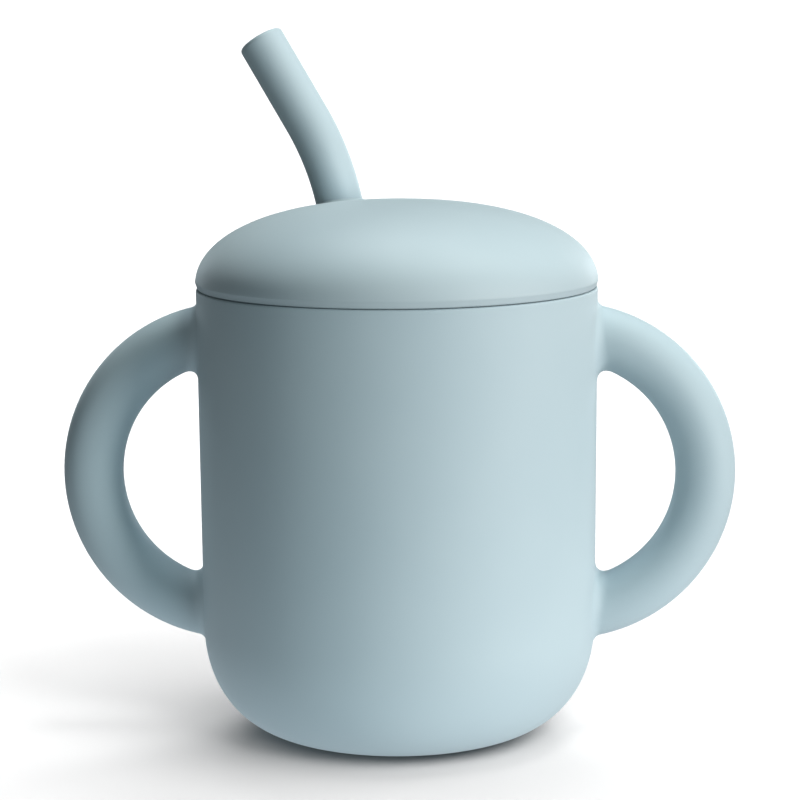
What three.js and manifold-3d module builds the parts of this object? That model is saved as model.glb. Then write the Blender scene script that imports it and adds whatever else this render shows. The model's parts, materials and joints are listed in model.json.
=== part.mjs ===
// Sippy cup: a soft silicone training cup with two ring handles, a push-in dome lid and a bent straw.
// Millimetres, +Z up. The origin is the centre of the foot, and the handles lie along X.
import * as THREE from 'three';
import { mergeVertices } from 'three/addons/utils/BufferGeometryUtils.js';
import Module from 'manifold-3d';

// Segment counts
const ROUND_SEGMENTS = 60;
const HANDLE_SEGMENTS = 24;
const HANDLE_STEPS = 22;
const STRAW_SEGMENTS = 24;
const VENT_SEGMENTS = 12;
const CORNER_STEPS = 9;
const DOME_STEPS = 13;
const CEILING_STEPS = 9;
const BEND_STEPS = 8;
const FLARE_STEPS = 4;
const DOME_PASSES = 4;
const MERGE_TOLERANCE = 1e-4;

// Touching pieces are drawn this far apart
const GAP = 0.3;

// Cup
const RIM_RADIUS = 36;
const RIM_Z = 81.6;
const WALL_RADIUS_AT_BASE = 35.46;
const WALL_THICKNESS = 3;
const EDGE_ROUND = 0.4;
const FOOT_RADIUS = 17;
const FOOT_INNER_RADIUS = 13;
const RECESS_RADIUS = 12.4;
const RECESS_DEPTH = 0.6;
const CORNER_HEIGHT = 20.5;
const CORNER_POWER = 2.225;
const FLOOR_Z = 3.6;
const FLOOR_RADIUS = 15;
const FLOOR_CORNER_Z = 21.5;
const FLOOR_CORNER_POWER = 2.2;

// Handles: each is an arc of a ring that stands in the XZ plane
const RING_CENTRE_X = 30;
const RING_CENTRE_Z = 47.9;
const RING_RADIUS = 25.45;
const GRIP_RADIUS = 5.39;
const ROOT_FLARE = 2;
const ROOT_WALL_X = 35.75;
const ROOT_DEPTH = 2;
const ROOT_BLEND = 5;

// Lid
const LID_RADIUS = 36.13;
const LID_BASE_Z = 82.1;
const LID_WIDEST_Z = 83;
const DOME_HEIGHT = 14.47;
const DOME_RADIAL_POWER = 2.325;
const DOME_RISE_POWER = 2.188;
const LIP_RADIUS = 35.55;
const LIP_Z = RIM_Z + GAP;
const CEILING_RADIUS = 33.4;
const CEILING_HEIGHT = 11.9;
const SKIRT_INNER_RADIUS = 30;
const SKIRT_RADIUS = 32;
const SKIRT_BOTTOM_Z = 73;
const RIB_RADIUS = 32.66;
const RIB_HEIGHTS = [75.4, 79.1];
const RIB_HALF_WIDTH = 0.9;
const RIB_HALF_CREST = 0.3;
const VENT_RADIUS = 0.6;
const VENT_X = 10.5;
const VENT_Y = 17;

// Straw: its axis passes through this point, a little below the top of the lid
const STRAW_POINT = new THREE.Vector3(-10.54, 17, 91.58);
const STRAW_LEAN = THREE.MathUtils.degToRad(12.16);
const STRAW_BEND = THREE.MathUtils.degToRad(21.1);
const STRAW_BEND_BACK = THREE.MathUtils.degToRad(29);
const STRAW_RADIUS = 4.3;
const STRAW_BORE = 2.7;
const STRAW_BELOW = 86.5;
const BEND_START = 3.77;
const BEND_LENGTH = 16.25;
const STRAW_ABOVE = 37.4;
const MOUTH_ROUND = 0.8;
const NOTCH_SIDE = 4.4;

// Straw seat in the lid: a collar that follows the dome, and a sleeve under it, both about the straw's axis
const SEAT_BORE = STRAW_RADIUS + GAP;
const COLLAR_HEIGHT = 0.9;
const COLLAR_RADIUS = 5.1;
const COLLAR_FOOT_DEPTH = 0.3;
const COLLAR_FOOT_RADIUS = 7.6;
const SLEEVE_RADIUS = 6.6;
const SLEEVE_TOP = 1;
const SLEEVE_BOTTOM = -6;

const wasm = await Module();
wasm.setup();

function v2(x, y) {
  return new THREE.Vector2(x, y);
}

// Revolves a profile of (radius, height) points about +Z
function revolve(profile, segments) {
  const geometry = new THREE.LatheGeometry(profile, segments);
  geometry.rotateX(Math.PI / 2);
  return geometry;
}

// Closed solid from a three.js geometry: seams merged, collapsed triangles dropped
function solidOf(geometry) {
  const bare = geometry.clone();
  bare.deleteAttribute('normal');
  bare.deleteAttribute('uv');
  const merged = mergeVertices(bare, MERGE_TOLERANCE);
  const index = merged.index.array;
  const triangles = [];
  for (let i = 0; i < index.length; i += 3) {
    const [a, b, c] = [index[i], index[i + 1], index[i + 2]];
    if (a !== b && b !== c && c !== a) {
      triangles.push(a, b, c);
    }
  }
  return new wasm.Manifold(new wasm.Mesh({
    numProp: 3,
    vertProperties: Float32Array.from(merged.attributes.position.array),
    triVerts: Uint32Array.from(triangles),
  }));
}

function geometryOf(solid) {
  const mesh = solid.getMesh();
  const geometry = new THREE.BufferGeometry();
  geometry.setAttribute('position', new THREE.BufferAttribute(mesh.vertProperties, 3));
  geometry.setIndex(new THREE.BufferAttribute(mesh.triVerts, 1));
  geometry.computeVertexNormals();
  return geometry;
}

// Moves each vertex of a straight rod along +Z onto a curved centre line
function bend(geometry, place) {
  const positions = geometry.attributes.position;
  const point = new THREE.Vector3();
  for (let i = 0; i < positions.count; i += 1) {
    point.fromBufferAttribute(positions, i);
    place(point);
    positions.setXYZ(i, point.x, point.y, point.z);
  }
  return geometry;
}

function wallRadius(z) {
  return WALL_RADIUS_AT_BASE + (RIM_RADIUS - WALL_RADIUS_AT_BASE) * (z / RIM_Z);
}

// Rounded corner that leaves a flat floor and turns up into a wall
function corner(floorRadius, floorZ, topZ, power, radiusAt) {
  const points = [];
  for (let i = 0; i <= CORNER_STEPS; i += 1) {
    const angle = (Math.PI / 2) * (i / CORNER_STEPS);
    const across = Math.sin(angle) ** (2 / power);
    const up = 1 - Math.cos(angle) ** (2 / power);
    const z = floorZ + (topZ - floorZ) * up;
    points.push(v2(floorRadius + (radiusAt(z) - floorRadius) * across, z));
  }
  return points;
}

// Outside of the cup from the foot to the rim, pushed outward by a margin
function cupOutside(margin) {
  const points = corner(FOOT_RADIUS, 0, CORNER_HEIGHT, CORNER_POWER, wallRadius);
  return points.map((p) => v2(p.x + margin, p.y));
}

function makeCup() {
  const innerRadius = (z) => wallRadius(z) - WALL_THICKNESS;
  const inside = corner(FLOOR_RADIUS, FLOOR_Z, FLOOR_CORNER_Z, FLOOR_CORNER_POWER, innerRadius);
  const profile = [
    v2(0, RECESS_DEPTH),
    v2(RECESS_RADIUS, RECESS_DEPTH),
    v2(FOOT_INNER_RADIUS, 0),
    ...cupOutside(0),
    v2(wallRadius(RING_CENTRE_Z), RING_CENTRE_Z),
    v2(wallRadius(RIM_Z - EDGE_ROUND), RIM_Z - EDGE_ROUND),
    v2(RIM_RADIUS - EDGE_ROUND * 0.3, RIM_Z - EDGE_ROUND * 0.3),
    v2(RIM_RADIUS - EDGE_ROUND, RIM_Z),
    v2(innerRadius(RIM_Z) + EDGE_ROUND, RIM_Z),
    v2(innerRadius(RIM_Z), RIM_Z - EDGE_ROUND),
    v2(innerRadius(RING_CENTRE_Z), RING_CENTRE_Z),
    ...inside.reverse(),
    v2(0, FLOOR_Z),
  ];
  return solidOf(revolve(profile, ROUND_SEGMENTS));
}

// Solid plug the shape of the cup's outside plus the gap, used to trim the handle roots
function makeTrim() {
  const profile = [
    v2(0, 0),
    ...cupOutside(GAP),
    v2(RIM_RADIUS + GAP, RIM_Z),
    v2(0, RIM_Z),
  ];
  return solidOf(revolve(profile, ROUND_SEGMENTS));
}

// One handle in the place of the right one: a round bar whose roots flare out to meet the wall squarely
function makeHandle(trim) {
  const wallAngle = Math.acos((ROOT_WALL_X - RING_CENTRE_X) / RING_RADIUS);
  const wallLength = wallAngle * RING_RADIUS;
  const blendEnd = wallLength - ROOT_FLARE;
  const flare = [];
  for (let i = 0; i <= FLARE_STEPS; i += 1) {
    const angle = (Math.PI / 2) * (i / FLARE_STEPS);
    const growth = ROOT_FLARE * (1 - Math.cos(angle));
    flare.push(v2(GRIP_RADIUS + growth, ROOT_FLARE * (1 - Math.sin(angle))));
  }
  const upper = flare.map((p) => v2(p.x, wallLength - p.y));
  const lower = flare.map((p) => v2(p.x, p.y - wallLength)).reverse();
  const straight = [];
  const straightLength = wallLength - ROOT_FLARE;
  for (let i = 1; i < HANDLE_STEPS; i += 1) {
    straight.push(v2(GRIP_RADIUS, -straightLength + (2 * straightLength * i) / HANDLE_STEPS));
  }
  const rootRadius = GRIP_RADIUS + ROOT_FLARE;
  const profile = [
    v2(0, -wallLength - ROOT_DEPTH),
    v2(rootRadius, -wallLength - ROOT_DEPTH),
    ...lower,
    ...straight,
    ...upper,
    v2(rootRadius, wallLength + ROOT_DEPTH),
    v2(0, wallLength + ROOT_DEPTH),
  ];
  const rod = bend(revolve(profile, HANDLE_SEGMENTS), (point) => {
    const nearWall = THREE.MathUtils.smoothstep(Math.abs(point.z), blendEnd - ROOT_BLEND, blendEnd);
    const slant = point.x / Math.tan(wallAngle) + point.y ** 2 / (2 * ROOT_WALL_X);
    const angle = (point.z + Math.sign(point.z) * nearWall * slant) / RING_RADIUS;
    const radius = RING_RADIUS + point.x;
    point.x = RING_CENTRE_X + radius * Math.cos(angle);
    point.z = RING_CENTRE_Z + radius * Math.sin(angle);
  });
  const geometry = geometryOf(solidOf(rod).subtract(trim));
  geometry.translate(-RING_CENTRE_X, 0, -RING_CENTRE_Z);
  return geometry;
}

// Dome surface from the height where it starts up to the axis
function dome(radius, height, startZ, steps) {
  const start = Math.asin(((startZ - LID_BASE_Z) / height) ** (DOME_RISE_POWER / 2));
  const points = [];
  for (let i = 0; i < steps; i += 1) {
    const angle = start + (Math.PI / 2 - start) * (i / steps);
    const r = radius * Math.cos(angle) ** (2 / DOME_RADIAL_POWER);
    const z = LID_BASE_Z + height * Math.sin(angle) ** (2 / DOME_RISE_POWER);
    points.push(v2(r, z));
  }
  points.push(v2(0, LID_BASE_Z + height));
  return points;
}

// Straight lines in the straw's own frame become lines along the leaning straw
function placeAtStraw(geometry) {
  geometry.rotateY(-STRAW_LEAN);
  geometry.translate(STRAW_POINT.x, STRAW_POINT.y, STRAW_POINT.z);
  return geometry;
}

// Height of the dome above the straw's point, along the straw, at a place across the straw's axis
function domeAlongStraw(across, back) {
  let along = 0;
  for (let pass = 0; pass < DOME_PASSES; pass += 1) {
    const x = STRAW_POINT.x + across * Math.cos(STRAW_LEAN) - along * Math.sin(STRAW_LEAN);
    const fall = (Math.hypot(x, STRAW_POINT.y + back) / LID_RADIUS) ** DOME_RADIAL_POWER;
    const domeZ = LID_BASE_Z + DOME_HEIGHT * (1 - fall) ** (1 / DOME_RISE_POWER);
    const planeZ = STRAW_POINT.z + across * Math.sin(STRAW_LEAN);
    along = (domeZ - planeZ) / Math.cos(STRAW_LEAN);
  }
  return along;
}

function makeLid() {
  const ceilingFall = (SKIRT_INNER_RADIUS / CEILING_RADIUS) ** DOME_RADIAL_POWER;
  const ceilingEdge = LID_BASE_Z + CEILING_HEIGHT * (1 - ceilingFall) ** (1 / DOME_RISE_POWER);
  const ribs = RIB_HEIGHTS.flatMap((z) => [
    v2(SKIRT_RADIUS, z - RIB_HALF_WIDTH),
    v2(RIB_RADIUS, z - RIB_HALF_CREST),
    v2(RIB_RADIUS, z + RIB_HALF_CREST),
    v2(SKIRT_RADIUS, z + RIB_HALF_WIDTH),
  ]);
  const profile = [
    ...dome(CEILING_RADIUS, CEILING_HEIGHT, ceilingEdge, CEILING_STEPS).reverse(),
    v2(SKIRT_INNER_RADIUS, SKIRT_BOTTOM_Z + EDGE_ROUND),
    v2(SKIRT_INNER_RADIUS + EDGE_ROUND, SKIRT_BOTTOM_Z),
    v2(SKIRT_RADIUS - EDGE_ROUND, SKIRT_BOTTOM_Z),
    v2(SKIRT_RADIUS, SKIRT_BOTTOM_Z + EDGE_ROUND),
    ...ribs,
    v2(SKIRT_RADIUS, LIP_Z),
    v2(LIP_RADIUS, LIP_Z),
    ...dome(LID_RADIUS, DOME_HEIGHT, LID_WIDEST_Z, DOME_STEPS),
  ];
  const shell = solidOf(revolve(profile, ROUND_SEGMENTS));

  const surface = domeAlongStraw(0, 0);
  const collarTop = surface + COLLAR_HEIGHT;
  const collarFoot = surface - COLLAR_FOOT_DEPTH;
  const flare = [];
  for (let i = 0; i <= FLARE_STEPS; i += 1) {
    const angle = (Math.PI / 2) * (i / FLARE_STEPS);
    const across = 1 - Math.sin(angle);
    const up = 1 - Math.cos(angle);
    flare.push(v2(
      COLLAR_RADIUS + (COLLAR_FOOT_RADIUS - COLLAR_RADIUS) * across,
      collarFoot + (collarTop - collarFoot) * up,
    ));
  }
  const seat = revolve([
    v2(0, SLEEVE_BOTTOM),
    v2(SLEEVE_RADIUS, SLEEVE_BOTTOM),
    v2(SLEEVE_RADIUS, SLEEVE_TOP),
    ...flare,
    v2(0, collarTop),
  ], STRAW_SEGMENTS);
  bend(seat, (point) => {
    if (point.z > SLEEVE_TOP) {
      point.z += domeAlongStraw(point.x, point.y) - surface;
    }
  });
  const collar = solidOf(placeAtStraw(seat));

  const boreLength = 40;
  const bore = new THREE.CylinderGeometry(SEAT_BORE, SEAT_BORE, boreLength, STRAW_SEGMENTS);
  bore.rotateX(Math.PI / 2);
  const vent = new THREE.CylinderGeometry(VENT_RADIUS, VENT_RADIUS, boreLength, VENT_SEGMENTS);
  vent.rotateX(Math.PI / 2);
  vent.translate(VENT_X, VENT_Y, LID_BASE_Z + DOME_HEIGHT);
  return shell
    .add(collar)
    .subtract(solidOf(placeAtStraw(bore)))
    .subtract(solidOf(vent));
}

function makeStraw() {
  const stations = [];
  for (let i = 0; i <= BEND_STEPS; i += 1) {
    stations.push(BEND_START + (BEND_LENGTH * i) / BEND_STEPS);
  }
  const mouth = [];
  const mouthCentre = STRAW_RADIUS - MOUTH_ROUND;
  for (let i = 0; i <= 2 * FLARE_STEPS; i += 1) {
    const angle = Math.PI * (i / (2 * FLARE_STEPS));
    const r = mouthCentre + MOUTH_ROUND * Math.cos(angle);
    mouth.push(v2(r, STRAW_ABOVE - MOUTH_ROUND + MOUTH_ROUND * Math.sin(angle)));
  }
  const profile = [
    v2(STRAW_BORE + EDGE_ROUND, -STRAW_BELOW),
    v2(STRAW_RADIUS - EDGE_ROUND, -STRAW_BELOW),
    v2(STRAW_RADIUS, -STRAW_BELOW + EDGE_ROUND),
    ...stations.map((s) => v2(STRAW_RADIUS, s)),
    ...mouth,
    ...stations.map((s) => v2(STRAW_BORE, s)).reverse(),
    v2(STRAW_BORE, -STRAW_BELOW + EDGE_ROUND),
    v2(STRAW_BORE + EDGE_ROUND, -STRAW_BELOW),
  ];
  const bendRadius = BEND_LENGTH / STRAW_BEND;
  const tube = bend(revolve(profile, STRAW_SEGMENTS), (point) => {
    const beyond = Math.max(point.z - BEND_START, 0);
    const angle = Math.min(beyond / bendRadius, STRAW_BEND);
    const straight = Math.max(beyond - BEND_LENGTH, 0);
    const axisX = -bendRadius * (1 - Math.cos(angle)) - straight * Math.sin(angle);
    const axisZ = bendRadius * Math.sin(angle) + straight * Math.cos(angle);
    const below = Math.min(point.z, BEND_START);
    const across = point.x;
    point.x = axisX + across * Math.cos(angle);
    point.z = below + axisZ + across * Math.sin(angle);
  });
  // The bend points left and a little back
  tube.rotateZ(-STRAW_BEND_BACK);
  const notch = new THREE.BoxGeometry(NOTCH_SIDE, 4 * STRAW_RADIUS, NOTCH_SIDE);
  notch.rotateY(Math.PI / 4);
  notch.translate(0, 0, -STRAW_BELOW);
  return solidOf(tube).subtract(solidOf(notch));
}

const group = new THREE.Group();
group.name = 'sippy_cup';

function addMesh(name, geometry, color, roughness) {
  const material = new THREE.MeshStandardMaterial({ color, roughness, metalness: 0 });
  const mesh = new THREE.Mesh(geometry, material);
  mesh.name = name;
  group.add(mesh);
  return mesh;
}

const CUP_COLOR = 0xb8d0d6;
const LID_COLOR = 0xbcd3d9;
const STRAW_COLOR = 0xb6ced5;

addMesh('cup_body', geometryOf(makeCup()), CUP_COLOR, 0.62);
const trim = makeTrim();
const rightHandle = addMesh('right_handle', makeHandle(trim), CUP_COLOR, 0.62);
rightHandle.position.set(RING_CENTRE_X, 0, RING_CENTRE_Z);
const leftHandle = addMesh('left_handle', makeHandle(trim), CUP_COLOR, 0.62);
leftHandle.position.set(-RING_CENTRE_X, 0, RING_CENTRE_Z);
leftHandle.rotation.z = Math.PI;
addMesh('lid', geometryOf(makeLid()), LID_COLOR, 0.58);
const straw = addMesh('straw', geometryOf(makeStraw()), STRAW_COLOR, 0.55);
straw.position.copy(STRAW_POINT);
straw.rotation.y = -STRAW_LEAN;

export default group;
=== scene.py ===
"""Sippy cup: a matte silicone training cup with two ring handles, a push-in dome lid and a bent straw.

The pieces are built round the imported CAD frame, in metres, +Z up, with the camera looking along +Y.
Profiles are worked out in millimetres and scaled once, when a mesh is made.
"""

import json
import math

import bmesh
import bpy
import numpy as np
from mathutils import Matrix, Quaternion, Vector


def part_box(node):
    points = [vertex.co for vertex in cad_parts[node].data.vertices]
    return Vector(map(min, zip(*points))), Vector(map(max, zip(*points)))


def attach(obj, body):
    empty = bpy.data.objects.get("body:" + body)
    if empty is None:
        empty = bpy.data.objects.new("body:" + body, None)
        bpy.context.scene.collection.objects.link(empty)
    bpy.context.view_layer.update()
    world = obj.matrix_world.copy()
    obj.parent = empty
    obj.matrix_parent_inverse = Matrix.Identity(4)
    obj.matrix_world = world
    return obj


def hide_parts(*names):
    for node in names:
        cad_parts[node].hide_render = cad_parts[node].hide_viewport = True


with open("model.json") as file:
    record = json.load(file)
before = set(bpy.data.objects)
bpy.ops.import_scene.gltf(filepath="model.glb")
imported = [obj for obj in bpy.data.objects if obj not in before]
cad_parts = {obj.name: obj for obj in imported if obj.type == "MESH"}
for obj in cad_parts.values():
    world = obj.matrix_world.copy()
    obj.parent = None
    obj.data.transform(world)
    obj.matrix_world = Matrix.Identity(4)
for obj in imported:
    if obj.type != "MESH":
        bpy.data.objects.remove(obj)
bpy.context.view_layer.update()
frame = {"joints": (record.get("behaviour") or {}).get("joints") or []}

MM = 0.001


def node_box(name):
    lo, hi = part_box(name)
    return np.array(lo) / MM, np.array(hi) / MM


cup_hi = node_box("cup_body")[1]
lid_lo, lid_hi = node_box("lid")
grip_lo, grip_hi = node_box("right_handle")

# ---------------------------------------------------------------- sizes, millimetres
# An _R is a radius, a _Z a height over the floor, and a _ROUND the radius of a rounded edge. An _S is a length
# along the straw, upwards from STRAW_AT. _ROWS, _CELLS and _SIDES count a mesh's divisions.

COLS = 192  # columns round the cup and the lid
COL_STEP = 2 * math.pi / COLS

# Cup
SEAT_DROP = 0.4  # the cup's rim is this much lower than the CAD's, and the lid's edge comes down with it
RIM_R, RIM_Z = cup_hi[0], cup_hi[2] - SEAT_DROP
RIM_ROUND, RIM_IN_ROUND = 0.35, 0.6
BASE_R = 0.985 * RIM_R  # the wall's radius carried down to the floor
WALL = 3.0
FOOT_R, FOOT_IN_R, FOOT_ROUND = 17.0, 13.0, 0.3
RECESS_R, RECESS_DEPTH = 12.3, 0.6
CORNER_H, CORNER_P = 20.5, 2.225  # the outer base corner: its height and how square it is
CORNER_ROWS = 26
FLOOR_Z, FLOOR_R, FLOOR_TOP, FLOOR_P = 3.6, 15.0, 21.5, 2.2  # the same for the inside
INSIDE_LO, INSIDE_HI, INSIDE_ROWS = FLOOR_TOP + 1.1, RIM_Z - 0.8, 34  # the straight inner wall
WALL_ROWS = 28  # between the two handle roots

# Handles: arcs of a ring that stands in the XZ plane
GRIP = 5.39
RING_X, RING_Z = 30.0, (grip_lo[2] + grip_hi[2]) / 2
RING_R = grip_hi[0] - RING_X - GRIP
FILLET, FILLET_SKEW = 2.0, 0.8  # the fillets are wider by the skew in the finger hole, tighter outside
FILLET_PULL = 0.6  # how far the fillet's curve is drawn into the sharp corner
FILLET_ROWS = 8
SKIRTING_ROWS = 4  # on the wall, between a patch's edge and the fillet
ROOT_CELLS = 16  # a handle root sits in a patch this many cells wide and high
LOW_PATCH = (13.6, 32.0)
HIGH_PATCH = (63.0, 80.6)
GRIP_ROWS = 62
PHIS = [2 * math.pi * j / (4 * ROOT_CELLS) for j in range(4 * ROOT_CELLS)]  # angles round the grip

# Lid
LID_R = lid_hi[0] + 0.05
DOME_Z = 82.1 - SEAT_DROP
DOME_H = lid_hi[2] - DOME_Z
DOME_PR, DOME_PZ = 2.34, 2.12  # the dome's curve: a superellipse with these powers
DOME_ROWS = 40
CEIL_R, CEIL_H = 33.4, 11.9
LIP_R, LIP_Z, LIP_ROUND = 35.84, RIM_Z + 0.1, 0.45
WIDEST_Z = DOME_Z + 0.8
SKIRT_R, SKIRT_IN_R, SKIRT_Z, SKIRT_ROUND = 32.0, 30.0, lid_lo[2], 0.7
SKIRT_ROWS = 14
RIB_R, RIBS, RIB_W, RIB_ROWS = 32.66, (75.4, 79.1), 0.9, 13
PATCH_R = (11.0, 29.0)  # rows this far from the axis are evenly spaced, for the holes
HOLE_CELLS = 28
VENT_CELLS = 6
VENT_R, VENT_AT = 0.6, (10.5, 17.0)

# Straw
pull = next(j for j in frame["joints"] if j["name"] == "straw_pull")
LEAN = math.atan2(-pull["axis"][0], pull["axis"][2])
BEND = math.radians(21.1)
BEND_BACK = math.radians(29)  # the bend points left and this far round to the back
STRAW_R, STRAW_IN = 4.3, 2.7
STRAW_AT = np.array([-10.54, 17.0, 91.58])
STRAW_S0, BEND_S0, BEND_L, STRAW_S1 = -86.5, 3.77, 16.25, 37.4
STRAW_SIDES = 72
NOTCH, NOTCH_REACH = 3.1, 12  # the notch's depth, and how far up the rows above it are pushed
FOOT_CHAMFER, FOOT_CHAMFER_MID = 0.4, 0.12

# Straw hole: a collar outside, a sleeve inside
BORE = STRAW_R + 0.06
COLLAR_R, COLLAR_FOOT, COLLAR_H = 4.58, 5.7, 0.45
COLLAR_ROWS, COLLAR_EASE = 12, 1.15
SLEEVE_R, SLEEVE_S = 6.6, -6.0
SLEEVE_EDGE, SLEEVE_EDGE_MID = 0.6, 0.18
SLEEVE_FILLET = 1.0
SPREAD_ROWS, VENT_SPREAD_ROWS = 5, 3  # on the dome or ceiling, between a patch's edge and its hole

# ---------------------------------------------------------------- mesh helpers


def arc(cx, cy, r, a0, a1, n):
    """n points of a circle's arc, both ends included; angles in degrees."""
    return [
        (cx + r * math.cos(math.radians(a)), cy + r * math.sin(math.radians(a)))
        for a in np.linspace(a0, a1, n)
    ]


class Mesh:
    """Vertices and faces gathered in millimetres."""

    def __init__(self):
        self.co, self.faces = [], []

    def add(self, points):
        start = len(self.co)
        self.co.extend(tuple(float(c) for c in p) for p in points)
        return list(range(start, len(self.co)))

    def strip(self, a, b):
        """Quads between two closed rows of the same length."""
        n = len(a)
        for i in range(n):
            j = (i + 1) % n
            self.faces.append((a[i], a[j], b[j], b[i]))

    def fan(self, ring, tip):
        for i in range(len(ring)):
            self.faces.append((ring[i], ring[(i + 1) % len(ring)], tip))

    def sew(self, row, rings):
        """Quads from a row of vertices through new rings of points. Returns the last ring's vertices."""
        for points in rings:
            following = self.add(points)
            self.strip(row, following)
            row = following
        return row

    def make(self, name):
        data = bpy.data.meshes.new(name)
        data.from_pydata([(x * MM, y * MM, z * MM) for x, y, z in self.co], [], self.faces)
        bm = bmesh.new()
        bm.from_mesh(data)
        loose = [v for v in bm.verts if not v.link_faces]
        bmesh.ops.delete(bm, geom=loose, context="VERTS")
        bmesh.ops.recalc_face_normals(bm, faces=bm.faces)
        if bm.calc_volume(signed=True) < 0:
            bmesh.ops.reverse_faces(bm, faces=bm.faces)
        bm.to_mesh(data)
        bm.free()
        data.polygons.foreach_set("use_smooth", [True] * len(data.polygons))
        obj = bpy.data.objects.new(name, data)
        bpy.context.scene.collection.objects.link(obj)
        return obj


def revolve(mesh, profile, holes=()):
    """Revolves (r, z) points about Z. Rows with r = 0 become one vertex. holes are patches of cells left
    open, each (first row, last row, first column, last column). Returns the rows of vertices."""
    rows = []
    for r, z in profile:
        if r == 0:
            rows.append(mesh.add([(0, 0, z)]))
            continue
        turns = [c * COL_STEP for c in range(COLS)]
        rows.append(mesh.add((r * math.cos(a), r * math.sin(a), z) for a in turns))
    cut = set()
    for r0, r1, c0, c1 in holes:
        cut.update((r, c % COLS) for r in range(r0, r1) for c in range(c0, c1))
    for i in range(len(rows) - 1):
        a, b = rows[i], rows[i + 1]
        if len(a) == 1:
            mesh.fan(b, a[0])
        elif len(b) == 1:
            mesh.fan(a, b[0])
        else:
            for c in range(COLS):
                if (i, c) not in cut:
                    d = (c + 1) % COLS
                    mesh.faces.append((a[c], a[d], b[d], b[c]))
    return rows


def perimeter(rows, r0, c0, cells):
    """The vertices round a square patch, from the middle of its last column, through its last row."""
    half = cells // 2
    r1, c1 = r0 + cells, c0 + cells
    path = [(r, c1) for r in range(r0 + half, r1)]
    path += [(r1, c) for c in range(c1, c0, -1)]
    path += [(r, c0) for r in range(r1, r0, -1)]
    path += [(r0, c) for c in range(c0, c1)]
    path += [(r, c1) for r in range(r0, r0 + half)]
    return [rows[r][c % COLS] for r, c in path]


# ---------------------------------------------------------------- cup and handles, one moulding


def wall_line(z):
    return BASE_R + (RIM_R - BASE_R) * z / RIM_Z


def inner_line(z):
    return wall_line(z) - WALL


def cup_radius(z):
    """Outer radius of the cup at a height."""
    if z >= CORNER_H:
        return wall_line(z)
    up = 1 - max(z, 0) / CORNER_H
    return FOOT_R + (wall_line(z) - FOOT_R) * (1 - up**CORNER_P) ** (1 / CORNER_P)


def corner(z0, z1, height, power, start_r, radius):
    """Rows of a rounded corner between two heights, evenly spread round the curve."""
    turn = math.acos((1 - (z1 - z0) / height) ** (power / 2))
    points = []
    for t in np.linspace(0, turn, CORNER_ROWS):
        z = z0 + height * (1 - math.cos(t) ** (2 / power))
        across = math.sin(t) ** (2 / power)
        points.append((start_r + (radius(z) - start_r) * across, z))
    return points


def cup_profile():
    """The cup's section from the middle of the foot, out, up, over the rim and down to the inner floor.
    Returns it with the first rows of the patches for the low and the high handle roots."""
    under = [(0, RECESS_DEPTH)] + [(r, RECESS_DEPTH) for r in (2, 4, 6, 8, 10, 11.4, 12.0)]
    under += arc(RECESS_R, RECESS_DEPTH - FOOT_ROUND, FOOT_ROUND, 90, 20, 5)
    under += arc(FOOT_IN_R + 0.25, FOOT_ROUND, FOOT_ROUND, 200, 270, 5)
    under += [(r, 0) for r in (14, 15, 16)]
    under += corner(0, LOW_PATCH[0], CORNER_H, CORNER_P, FOOT_R, wall_line)[:-1]
    low = len(under)
    heights = list(np.linspace(*LOW_PATCH, ROOT_CELLS + 1))
    heights += list(np.linspace(LOW_PATCH[1], HIGH_PATCH[0], WALL_ROWS)[1:-1])
    high = low + len(heights)
    heights += list(np.linspace(*HIGH_PATCH, ROOT_CELLS + 1))
    body = [(cup_radius(z), z) for z in heights]
    out_r, in_r = wall_line(RIM_Z), inner_line(RIM_Z)
    rim = arc(out_r - RIM_ROUND, RIM_Z - RIM_ROUND, RIM_ROUND, 0, 90, 8)
    rim += [(in_r + WALL / 2, RIM_Z)]
    rim += arc(in_r + RIM_IN_ROUND, RIM_Z - RIM_IN_ROUND, RIM_IN_ROUND, 90, 180, 8)
    inside = [(inner_line(z), z) for z in np.linspace(INSIDE_HI, INSIDE_LO, INSIDE_ROWS)]
    inside += corner(FLOOR_Z, FLOOR_TOP, FLOOR_TOP - FLOOR_Z, FLOOR_P, FLOOR_R, inner_line)[::-1]
    floor = [(r, FLOOR_Z) for r in (13, 11, 9, 7, 5, 3, 1.5, 0)]
    return under + body + rim + inside + floor, low, high


def grip_point(theta, phi):
    """A place on a handle: theta is round the ring, phi round the grip."""
    r = RING_R + GRIP * math.cos(phi)
    return np.array([
        RING_X + r * math.cos(theta),
        GRIP * math.sin(phi),
        RING_Z + r * math.sin(theta),
    ])


def root_angle(phi, side):
    """Where round the ring a line along the grip meets the cup's wall; side is +1 for the upper root."""
    lo, hi = math.radians(40), math.radians(100)
    for _ in range(50):
        mid = (lo + hi) / 2
        x, y, z = grip_point(side * mid, phi)
        if math.hypot(x, y) > cup_radius(z):
            lo = mid
        else:
            hi = mid
    return side * lo


def unroll(point):
    """A place on the wall as a length round it, taken at the rim's radius, and a height."""
    return np.array([math.atan2(point[1], point[0]) * RIM_R, point[2]])


def roll_up(flat):
    theta, z = flat[0] / RIM_R, flat[1]
    r = cup_radius(z)
    return np.array([r * math.cos(theta), r * math.sin(theta), z])


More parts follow.
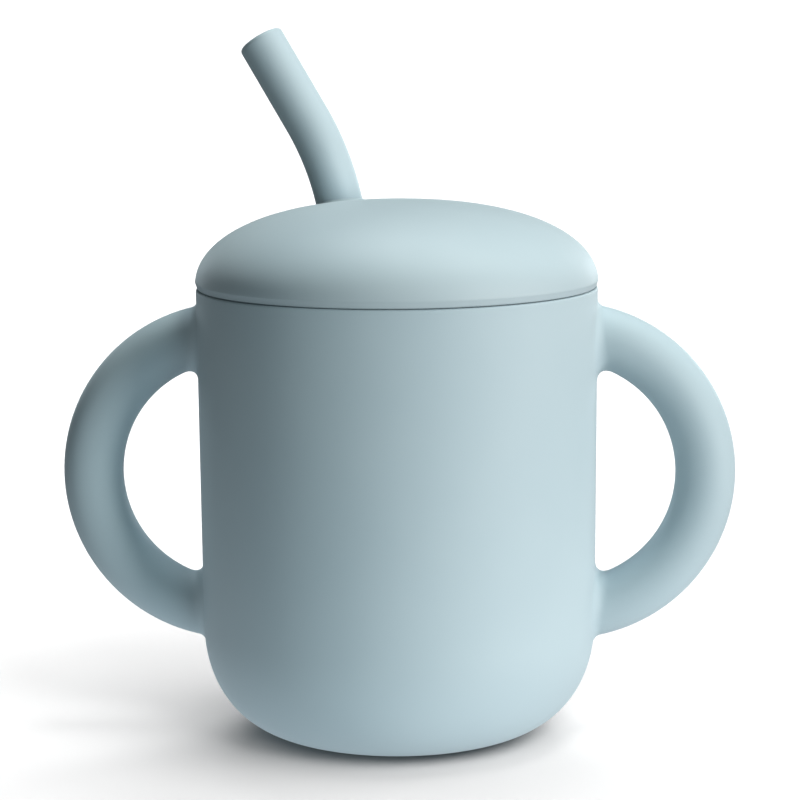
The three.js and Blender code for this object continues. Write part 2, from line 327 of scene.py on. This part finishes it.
def root_rings(edge, side):
    """Rings from a patch's edge over the wall and up the fillet, for a root on the right.
    Returns them with the angles round the handle's ring where they end."""
    meets = [root_angle(phi, side) for phi in PHIS]
    touch = [grip_point(meet, phi) for meet, phi in zip(meets, PHIS)]
    flat = [unroll(p) for p in touch]
    middle = sum(flat) / len(flat)
    outer, ends = [], []
    for phi, meet, place in zip(PHIS, meets, flat):
        fillet = FILLET - FILLET_SKEW * math.cos(phi)
        away = place - middle
        outer.append(place + fillet * away / np.linalg.norm(away))
        ends.append(meet - side * fillet / (RING_R + GRIP * math.cos(phi)))
    rings = []
    flat_edge = [unroll(p) for p in edge]
    for i in range(1, SKIRTING_ROWS + 1):
        t = i / SKIRTING_ROWS
        rings.append([roll_up(a * (1 - t) + b * t) for a, b in zip(flat_edge, outer)])
    for i in range(1, FILLET_ROWS + 1):
        t = i / FILLET_ROWS
        points = []
        for phi, sharp, place, end in zip(PHIS, touch, outer, ends):
            a, d = roll_up(place), grip_point(end, phi)
            b, c = a + FILLET_PULL * (sharp - a), d + FILLET_PULL * (sharp - d)
            p = (1 - t) ** 3 * a + 3 * (1 - t) ** 2 * t * b
            points.append(p + 3 * (1 - t) * t**2 * c + t**3 * d)
        rings.append(points)
    return rings, ends


def build_cup():
    mesh = Mesh()
    profile, low, high = cup_profile()
    half = ROOT_CELLS // 2
    patches = [
        (row, row + ROOT_CELLS, turn - half, turn + half)
        for row in (low, high)
        for turn in (0, COLS // 2)
    ]
    rows = revolve(mesh, profile, patches)
    count = len(PHIS)
    for turn, sign in ((0, 1), (COLS // 2, -1)):
        flip = (sign, sign, 1)  # the left handle is the right one turned half round
        roots = {}
        for side, first in ((1, high), (-1, low)):
            edge = perimeter(rows, first, turn - half, ROOT_CELLS)
            edge = [edge[side * (count // 4 - j) % count] for j in range(count)]
            rings, ends = root_rings([np.array(mesh.co[v]) * flip for v in edge], side)
            last = mesh.sew(edge, [[p * flip for p in ring] for ring in rings])
            roots[side] = (last, ends)
        upper, top = roots[1]
        lower, bottom = roots[-1]
        bar = []
        for i in range(1, GRIP_ROWS):
            t = i / GRIP_ROWS
            thetas = [a * (1 - t) + b * t for a, b in zip(top, bottom)]
            bar.append([grip_point(theta, phi) * flip for theta, phi in zip(thetas, PHIS)])
        mesh.strip(mesh.sew(upper, bar), lower)
    return mesh.make("cup_moulding")


# ---------------------------------------------------------------- lid


def dome_height(r, radius=LID_R, height=DOME_H):
    fall = min(r / radius, 1) ** DOME_PR
    return DOME_Z + height * (1 - fall) ** (1 / DOME_PZ)


def ceiling_height(r):
    return dome_height(r, CEIL_R, CEIL_H)


def straw_point(u, v, s):
    """A place in the straw's own frame: across, back, and along the leaning straw."""
    cos, sin = math.cos(LEAN), math.sin(LEAN)
    return STRAW_AT + np.array([u * cos - s * sin, v, u * sin + s * cos])


def along_straw(u, v, height):
    """How far along the straw a line at (u, v) meets the dome or the ceiling."""
    s = 0.0
    for _ in range(12):
        x, y, z = straw_point(u, v, s)
        s += (height(math.hypot(x, y)) - z) / math.cos(LEAN)
    return s


def lid_profile():
    """The lid's section from the middle of its ceiling, down the skirt, out, and up over the dome.
    Returns it with the first of the evenly spaced rows in the ceiling and in the dome."""
    even = np.linspace(*PATCH_R, HOLE_CELLS + 1)
    inner = [0] + list(np.linspace(0.9, PATCH_R[0], 16))[:-1]
    ceiling = [(r, ceiling_height(r)) for r in inner]
    low = len(ceiling)
    ceiling += [(r, ceiling_height(r)) for r in even]
    edge = ceiling_height(SKIRT_IN_R)
    ceiling += [(29.35, ceiling_height(29.35)), (29.65, ceiling_height(29.65) - 0.06)]
    ceiling += [(29.87, edge - 0.02), (29.97, edge - 0.45), (SKIRT_IN_R, edge - 1.0)]

    skirt = [(SKIRT_IN_R, z) for z in np.linspace(edge - 2, SKIRT_Z + 2 * SKIRT_ROUND, SKIRT_ROWS)]
    foot_z = SKIRT_Z + SKIRT_ROUND
    skirt += arc(SKIRT_IN_R + SKIRT_ROUND, foot_z, SKIRT_ROUND, 180, 270, 8)
    skirt += arc(SKIRT_R - SKIRT_ROUND, foot_z, SKIRT_ROUND, 270, 360, 8)
    for z in RIBS:
        for t in np.linspace(-1, 1, RIB_ROWS):
            rise = (1 + math.cos(math.pi * t)) / 2
            skirt.append((SKIRT_R + (RIB_R - SKIRT_R) * rise, z + RIB_W * t))
    skirt += [(SKIRT_R, LIP_Z - 1)]
    skirt += arc(SKIRT_R + SKIRT_ROUND, LIP_Z - SKIRT_ROUND, SKIRT_ROUND, 180, 90, 6)

    lip = [(r, LIP_Z) for r in (33.4, 34.3, 35.0)]
    lip += arc(LIP_R - LIP_ROUND, LIP_Z + LIP_ROUND, LIP_ROUND, 270, 345, 7)
    start = math.asin(((WIDEST_Z - DOME_Z) / DOME_H) ** (DOME_PZ / 2))
    widest = LID_R * math.cos(start) ** (2 / DOME_PR)
    band_z = LIP_Z + LIP_ROUND
    for t in (0.2, 0.55, 0.88):
        lip.append((LIP_R + (widest - LIP_R) * t, band_z + (WIDEST_Z - band_z) * t))

    end = math.acos((PATCH_R[1] / LID_R) ** (DOME_PR / 2))
    over = []
    for t in np.linspace(start, end, DOME_ROWS)[:-1]:
        r = LID_R * math.cos(t) ** (2 / DOME_PR)
        over.append((r, DOME_Z + DOME_H * math.sin(t) ** (2 / DOME_PZ)))
    top = len(ceiling) + len(skirt) + len(lip) + len(over)
    over += [(r, dome_height(r)) for r in even[::-1]]
    over += [(r, dome_height(r)) for r in inner[::-1]]
    return ceiling + skirt + lip + over, low, top


def straw_ring(turns, radius, rise, height=None):
    """A ring round the straw's axis, at a length along it or raised that much off the dome or ceiling."""
    points = []
    for a in turns:
        u, v = radius * math.cos(a), radius * math.sin(a)
        s = rise if height is None else along_straw(u, v, height) + rise
        points.append(straw_point(u, v, s))
    return points


def vent_ring(turns, radius, height, rise=0.0):
    """A ring round the vent's upright axis."""
    points = []
    for a in turns:
        x, y = VENT_AT[0] + radius * math.cos(a), VENT_AT[1] + radius * math.sin(a)
        points.append(np.array([x, y, height(math.hypot(x, y)) + rise]))
    return points


def spread(mesh, edge, target, height, steps):
    """Rings between a patch's edge and a ring on the same surface."""
    rings = []
    for i in range(1, steps):
        t = i / steps
        points = []
        for v, p in zip(edge, target):
            x, y = np.array(mesh.co[v][:2]) * (1 - t) + p[:2] * t
            points.append((x, y, height(math.hypot(x, y))))
        rings.append(points)
    return rings


def straw_hole(turns):
    """Rings of the collar, the bore and the sleeve, from the dome to the ceiling."""
    rings = [straw_ring(turns, COLLAR_FOOT, 0, dome_height)]
    for t in np.linspace(0, 1, COLLAR_ROWS + 1)[1:]:
        a = t * math.pi / 2
        flare = COLLAR_FOOT - (COLLAR_FOOT - COLLAR_R) * math.sin(a)
        rise = COLLAR_H * (1 - math.cos(a)) ** COLLAR_EASE
        rings.append(straw_ring(turns, flare, rise, dome_height))
    lip = (COLLAR_R - BORE) / 2
    for a in (30, 60, 90, 120, 150, 180):
        turn = math.radians(a)
        radius = BORE + lip + lip * math.cos(turn)
        rings.append(straw_ring(turns, radius, COLLAR_H + 0.8 * lip * math.sin(turn), dome_height))
    for s in (2.6, 1.2, -0.4, -2.2, -4.0, SLEEVE_S + SLEEVE_EDGE):
        rings.append(straw_ring(turns, BORE, s))
    rings.append(straw_ring(turns, BORE + SLEEVE_EDGE_MID, SLEEVE_S + SLEEVE_EDGE_MID))
    rings.append(straw_ring(turns, BORE + SLEEVE_EDGE, SLEEVE_S))
    rings.append(straw_ring(turns, SLEEVE_R - SLEEVE_EDGE, SLEEVE_S))
    rings.append(straw_ring(turns, SLEEVE_R - SLEEVE_EDGE_MID, SLEEVE_S + SLEEVE_EDGE_MID))
    for s in (SLEEVE_S + SLEEVE_EDGE, -4.4, -3.4, -2.6):
        rings.append(straw_ring(turns, SLEEVE_R, s))
    for a in (0, 22.5, 45, 67.5, 90):
        turn = math.radians(a)
        radius = SLEEVE_R + SLEEVE_FILLET * (1 - math.cos(turn))
        rise = SLEEVE_FILLET * (math.sin(turn) - 1)
        rings.append(straw_ring(turns, radius, rise, ceiling_height))
    return rings


def vent_hole(turns):
    """Rings of a small round hole straight through, from the dome to the ceiling."""
    return [
        vent_ring(turns, VENT_R + 0.25, dome_height),
        vent_ring(turns, VENT_R + 0.08, dome_height, -0.07),
        vent_ring(turns, VENT_R, dome_height, -0.25),
        vent_ring(turns, VENT_R, dome_height, -1.2),
        vent_ring(turns, VENT_R, ceiling_height, 0.2),
        vent_ring(turns, VENT_R + 0.15, ceiling_height),
    ]


def column(at):
    return round(math.atan2(at[1], at[0]) / COL_STEP)


def build_lid():
    mesh = Mesh()
    profile, low, top = lid_profile()
    # Each hole: its middle column, its patch's width in cells, how many even rows come before the patch,
    # what makes its rings, and the steps from the patch's edge to them
    holes = [
        (column(STRAW_AT), HOLE_CELLS, 0, straw_hole, SPREAD_ROWS),
        (column(VENT_AT), VENT_CELLS, (HOLE_CELLS - VENT_CELLS) // 2, vent_hole, VENT_SPREAD_ROWS),
    ]
    patches = [
        (row + skip, row + skip + cells, middle - cells // 2, middle + cells // 2)
        for middle, cells, skip, _, _ in holes
        for row in (low, top)
    ]
    rows = revolve(mesh, profile, patches)
    for middle, cells, skip, make_rings, steps in holes:
        first = middle - cells // 2
        count = 4 * cells
        side = math.degrees(middle * COL_STEP) + 90
        turns = [math.radians(side + 360 * m / count) for m in range(count)]
        upper = perimeter(rows, top + skip, first, cells)
        lower = perimeter(rows, low + skip, first, cells)
        lower = [lower[-m % count] for m in range(count)]
        rings = make_rings(turns)
        before = spread(mesh, upper, rings[0], dome_height, steps)
        after = spread(mesh, lower, rings[-1], ceiling_height, steps)[::-1]
        mesh.strip(mesh.sew(upper, before + rings + after), lower)
    return mesh.make("lid_moulding")


# ---------------------------------------------------------------- straw


def bent_point(r, a, s):
    """A place on the straw: radius and angle round it, and length along its bent centre line."""
    u, v = r * math.cos(a), r * math.sin(a)
    radius = BEND_L / BEND
    beyond = max(s - BEND_S0, 0)
    turn = min(beyond / radius, BEND)
    rest = max(beyond - BEND_L, 0)
    x = -radius * (1 - math.cos(turn)) - rest * math.sin(turn) + u * math.cos(turn)
    z = min(s, BEND_S0) + radius * math.sin(turn) + rest * math.cos(turn) + u * math.sin(turn)
    across = x * math.cos(BEND_BACK) + v * math.sin(BEND_BACK)
    back = v * math.cos(BEND_BACK) - x * math.sin(BEND_BACK)
    return straw_point(across, back, z)


def straw_profile():
    """The straw's section as (radius, length along it): up the outside, over the mouth, down the bore."""
    wall = STRAW_R - STRAW_IN
    mouth_s = STRAW_S1 - wall / 2
    length = list(np.linspace(STRAW_S0 + 0.5, STRAW_S0 + NOTCH_REACH, 12))
    length += list(np.linspace(STRAW_S0 + 14, BEND_S0 - 2, 34))
    length += list(np.linspace(BEND_S0, BEND_S0 + BEND_L, 30))
    length += list(np.linspace(BEND_S0 + BEND_L + 1.2, mouth_s - 0.8, 13))
    mid_s = STRAW_S0 + FOOT_CHAMFER_MID
    profile = [(STRAW_R - FOOT_CHAMFER_MID, mid_s)] + [(STRAW_R, s) for s in length]
    profile += arc((STRAW_R + STRAW_IN) / 2, mouth_s, wall / 2, 0, 180, 17)
    profile += [(STRAW_IN, s) for s in length[::-1]] + [(STRAW_IN + FOOT_CHAMFER_MID, mid_s)]
    profile += [(STRAW_IN + FOOT_CHAMFER, STRAW_S0), (STRAW_R - FOOT_CHAMFER, STRAW_S0)]
    return profile


def build_straw():
    mesh = Mesh()
    rows = []
    for r, s in straw_profile():
        near = max(1 - (s - STRAW_S0) / NOTCH_REACH, 0)
        points = []
        for i in range(STRAW_SIDES):
            a = 2 * math.pi * (i + 0.5) / STRAW_SIDES
            lift = max(NOTCH - abs(r * math.cos(a - BEND_BACK)), 0)
            points.append(bent_point(r, a, s + lift * near))
        rows.append(mesh.add(points))
    for i in range(len(rows)):
        mesh.strip(rows[i], rows[(i + 1) % len(rows)])
    return mesh.make("straw_tube")


cup = build_cup()
lid = build_lid()
straw = build_straw()

# ---------------------------------------------------------------- silicone

COLOR = (0.400, 0.498, 0.535)


def link(tree, out, socket):
    tree.links.new(out, socket)


def silicone(name, painted_light_tint, roughness, seed):
    """Matte silicone: a fine dry grain, faint clouding of the pigment and patches handled smoother."""
    material = bpy.data.materials.new(name)
    material.use_nodes = True
    tree = material.node_tree
    tree.nodes.clear()
    out = tree.nodes.new("ShaderNodeOutputMaterial")
    skin = tree.nodes.new("ShaderNodeBsdfPrincipled")
    link(tree, skin.outputs["BSDF"], out.inputs["Surface"])
    skin.inputs["IOR"].default_value = 1.41
    skin.inputs["Specular IOR Level"].default_value = 0.42
    skin.inputs["Sheen Weight"].default_value = 0.06
    skin.inputs["Sheen Roughness"].default_value = 0.5
    place = tree.nodes.new("ShaderNodeTexCoord")
    shift = tree.nodes.new("ShaderNodeMapping")
    shift.inputs["Location"].default_value = (seed, seed * 0.7, -seed * 0.4)
    link(tree, place.outputs["Object"], shift.inputs["Vector"])

    def noise(scale, detail, rough=0.5):
        node = tree.nodes.new("ShaderNodeTexNoise")
        node.inputs["Scale"].default_value = scale
        node.inputs["Detail"].default_value = detail
        node.inputs["Roughness"].default_value = rough
        link(tree, shift.outputs["Vector"], node.inputs["Vector"])
        return node.outputs["Fac"]

    def ramp(factor, stops):
        node = tree.nodes.new("ShaderNodeValToRGB")
        link(tree, factor, node.inputs["Fac"])
        for element, (at, color) in zip(node.color_ramp.elements, stops):
            element.position = at
            element.color = color
        return node.outputs["Color"]

    def value(factor, low, high):
        node = tree.nodes.new("ShaderNodeMapRange")
        link(tree, factor, node.inputs["Value"])
        node.inputs["From Min"].default_value = 0.3
        node.inputs["From Max"].default_value = 0.7
        node.inputs["To Min"].default_value = low
        node.inputs["To Max"].default_value = high
        return node.outputs["Result"]

    def bump(height, strength, distance):
        node = tree.nodes.new("ShaderNodeBump")
        node.inputs["Strength"].default_value = strength
        node.inputs["Distance"].default_value = distance
        link(tree, height, node.inputs["Height"])
        return node

    # The per-piece tint is painted light: one silicone colour, shifted a little per piece to match how light
    # falls on it
    base = [c * s for c, s in zip(COLOR, painted_light_tint)]
    darker = (base[0] * 0.965, base[1] * 0.972, base[2] * 0.978, 1)
    lighter = (base[0] * 1.03, base[1] * 1.022, base[2] * 1.018, 1)
    cloud = ramp(noise(28, 3, 0.45), [(0.3, darker), (0.7, lighter)])
    link(tree, cloud, skin.inputs["Base Color"])
    worn = value(noise(60, 4), roughness - 0.045, roughness + 0.05)
    link(tree, worn, skin.inputs["Roughness"])
    grain = bump(noise(4200, 2, 0.6), 0.22, 0.00004)
    ripple = bump(noise(180, 2, 0.4), 0.12, 0.0003)
    link(tree, grain.outputs["Normal"], ripple.inputs["Normal"])
    link(tree, ripple.outputs["Normal"], skin.inputs["Normal"])
    return material


# Each piece: its body, the CAD nodes it stands for, its slot, and its tint, roughness and seed. The pieces are
# one silicone: the lid's and straw's small shifts from the cup's colour are painted light, matching how each
# piece looks lit
CUP_NODES = ("cup_body", "left_handle", "right_handle")
for piece, body, node_names, slot, look in (
    (cup, "cup", CUP_NODES, "cup_silicone", ((1.0, 1.0, 1.0), 0.60, 0.0)),
    (lid, "cover", ("lid",), "lid_silicone", ((1.015, 0.99, 0.98), 0.57, 3.1)),
    (straw, "spout", ("straw",), "straw_silicone", ((1.01, 1.0, 1.0), 0.55, 5.7)),
):
    piece.data.materials.append(silicone(slot, *look))
    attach(piece, body)
    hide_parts(*node_names)

# ---------------------------------------------------------------- floor and backdrop

WHITE = (1, 1, 1)
# The floor is a grey card, lit until it looks white, so that it sends little of the cup's own light back
CARD = 0.25
# How bright the floor looks from the cup, by distance from its axis in metres: dark where the cup covers it
FLOOR_GLOW = ((0.016, 0.0), (0.026, 0.70), (0.070, 0.90), (0.130, 0.46), (0.230, 0.03))
FLOOR_TINT = (0.87, 0.945, 1.0)
GLOW_REACH = 0.25
FLOOR_DROP = 0.00002  # keeps the floor's face just under the foot's


def shader(tree, kind, color, strength=None):
    node = tree.nodes.new(kind)
    node.inputs["Color"].default_value = (*color, 1)
    if strength is not None:
        node.inputs["Strength"].default_value = strength
    return node


def split_by_ray(tree, output, lighting, seen):
    """Shows the camera one shader, and lets the other light the cup."""
    path = tree.nodes.new("ShaderNodeLightPath")
    mix = tree.nodes.new("ShaderNodeMixShader")
    link(tree, path.outputs["Is Camera Ray"], mix.inputs["Fac"])
    link(tree, lighting.outputs[0], mix.inputs[1])
    link(tree, seen.outputs[0], mix.inputs[2])
    link(tree, mix.outputs["Shader"], output.inputs["Surface"])


def floor_material():
    """The camera sees a plain card with the cup's shadow on it; the cup sees a soft pool of light."""
    material = bpy.data.materials.new("floor_card")
    material.use_nodes = True
    tree = material.node_tree
    tree.nodes.clear()
    out = tree.nodes.new("ShaderNodeOutputMaterial")
    place = tree.nodes.new("ShaderNodeTexCoord")
    distance = tree.nodes.new("ShaderNodeVectorMath")
    distance.operation = "LENGTH"
    link(tree, place.outputs["Object"], distance.inputs[0])
    share = tree.nodes.new("ShaderNodeMath")
    share.operation = "DIVIDE"
    share.inputs[1].default_value = GLOW_REACH
    link(tree, distance.outputs["Value"], share.inputs[0])
    fall = tree.nodes.new("ShaderNodeValToRGB")
    link(tree, share.outputs["Value"], fall.inputs["Fac"])
    elements = fall.color_ramp.elements
    while len(elements) < len(FLOOR_GLOW):
        elements.new(0.5)
    for element, (at, level) in zip(elements, FLOOR_GLOW):
        element.position = at / GLOW_REACH
        element.color = (*(level * c for c in FLOOR_TINT), 1)
    glow = shader(tree, "ShaderNodeEmission", WHITE, 1.0)
    link(tree, fall.outputs["Color"], glow.inputs["Color"])
    split_by_ray(tree, out, glow, shader(tree, "ShaderNodeBsdfDiffuse", (CARD, CARD, CARD)))
    return material


bpy.ops.mesh.primitive_plane_add(size=40, location=(0, 0, -FLOOR_DROP))
floor = bpy.context.object
floor.name = "floor"
floor.data.materials.append(floor_material())

world = bpy.data.worlds.new("studio")
bpy.context.scene.world = world
world.use_nodes = True
sky = world.node_tree
sky.nodes.clear()
sky_out = sky.nodes.new("ShaderNodeOutputWorld")
sky_light = shader(sky, "ShaderNodeBackground", (0.9, 0.95, 1.0), 0.02)
split_by_ray(sky, sky_out, sky_light, shader(sky, "ShaderNodeBackground", WHITE, 1.0))

# ---------------------------------------------------------------- light, in metres

TURN = math.radians(2.5)  # the camera and the lights stand this far round to the right of the cup's front
LAMP_AIM = Vector((0, 0, 0.05))
LAMP_AWAY = 1.2
SOFTBOX_SIZE = 0.4

# Softboxes on the object: azimuth, elevation, watts, colour. The big key is the first four, on the right.
SOFTBOXES = (
    (30, 5, 2.4, (0.67, 0.92, 1.0)),
    (50, 0, 5.0, (1.0, 0.93, 0.83)),
    (50, 25, 5.65, (0.86, 0.945, 1.0)),
    (72, 2, 4.7, (1.0, 0.84, 0.81)),
    (-40, 10, 1.5, (0.8, 0.87, 0.88)),
    (90, 68, 6.3, (0.98, 1.0, 0.93)),
    (180, 68, 7.0, (0.88, 0.957, 1.0)),
    (-90, 82, 1.1, (0.94, 1.0, 1.0)),
    (150, 5, 2.5, (0.86, 0.95, 1.0)),
    (210, 5, 1.4, (0.8, 0.94, 1.0)),
)

# Broad light on the floor from all round but the left and the front left, so a soft shadow falls to the left:
# azimuth, elevation, softness in degrees, strength
FLOOR_LIGHTS = (
    (90, 35, 40, 0.25),
    (135, 35, 40, 0.31),
    (180, 35, 40, 0.46),
    (45, 40, 40, 0.42),
    (0, 40, 50, 0.34),
    (-135, 45, 50, 0.10),
    (90, 80, 15, 0.11),
)


def lit_group(name, members):
    group = bpy.data.collections.new(name)
    for member in members:
        group.objects.link(member)
    return group


object_only = lit_group("lit_object", (cup, lid, straw))
floor_only = lit_group("lit_floor", (floor,))


def place_lamp(data, azimuth, elevation, receivers):
    """Azimuth 0 is the camera's side and 90 the right. The lamp shines on one group of objects only, and only
    the cup casts its shadow."""
    lamp = bpy.data.objects.new(data.name, data)
    bpy.context.scene.collection.objects.link(lamp)
    a, e = math.radians(azimuth) + TURN, math.radians(elevation)
    away = Vector((math.sin(a) * math.cos(e), -math.cos(a) * math.cos(e), math.sin(e)))
    lamp.location = LAMP_AIM + away * LAMP_AWAY
    lamp.rotation_mode = "QUATERNION"
    lamp.rotation_quaternion = (-away).to_track_quat("-Z", "Y")
    lamp.light_linking.receiver_collection = receivers
    lamp.light_linking.blocker_collection = object_only


for azimuth, elevation, watts, color in SOFTBOXES:
    panel = bpy.data.lights.new(f"softbox_{azimuth}_{elevation}", "AREA")
    panel.shape = "DISK"
    panel.size = SOFTBOX_SIZE
    panel.energy = watts
    panel.color = color
    place_lamp(panel, azimuth, elevation, object_only)

for azimuth, elevation, softness, strength in FLOOR_LIGHTS:
    broad = bpy.data.lights.new(f"floor_light_{azimuth}_{elevation}", "SUN")
    broad.energy = math.pi * strength / CARD
    broad.angle = math.radians(softness)
    place_lamp(broad, azimuth, elevation, floor_only)

# ---------------------------------------------------------------- camera

ELEVATION = math.radians(8.7)
ROLL = math.radians(-0.44)
DISTANCE = 0.5
AIM = Vector((0.00042, 0, 0.06057))

camera_data = bpy.data.cameras.new("camera")
camera_data.sensor_width = 36
camera_data.lens = 124.6
camera = bpy.data.objects.new("camera", camera_data)
bpy.context.scene.collection.objects.link(camera)
bpy.context.scene.camera = camera
camera.rotation_mode = "QUATERNION"
camera.rotation_quaternion = (
    Quaternion((0, 0, 1), TURN)
    @ Quaternion((1, 0, 0), math.pi / 2 - ELEVATION)
    @ Quaternion((0, 0, 1), ROLL)
)
camera.location = AIM + camera.rotation_quaternion @ Vector((0, 0, DISTANCE))

scene = bpy.context.scene
scene.view_settings.view_transform = "Standard"
scene.view_settings.look = "None"
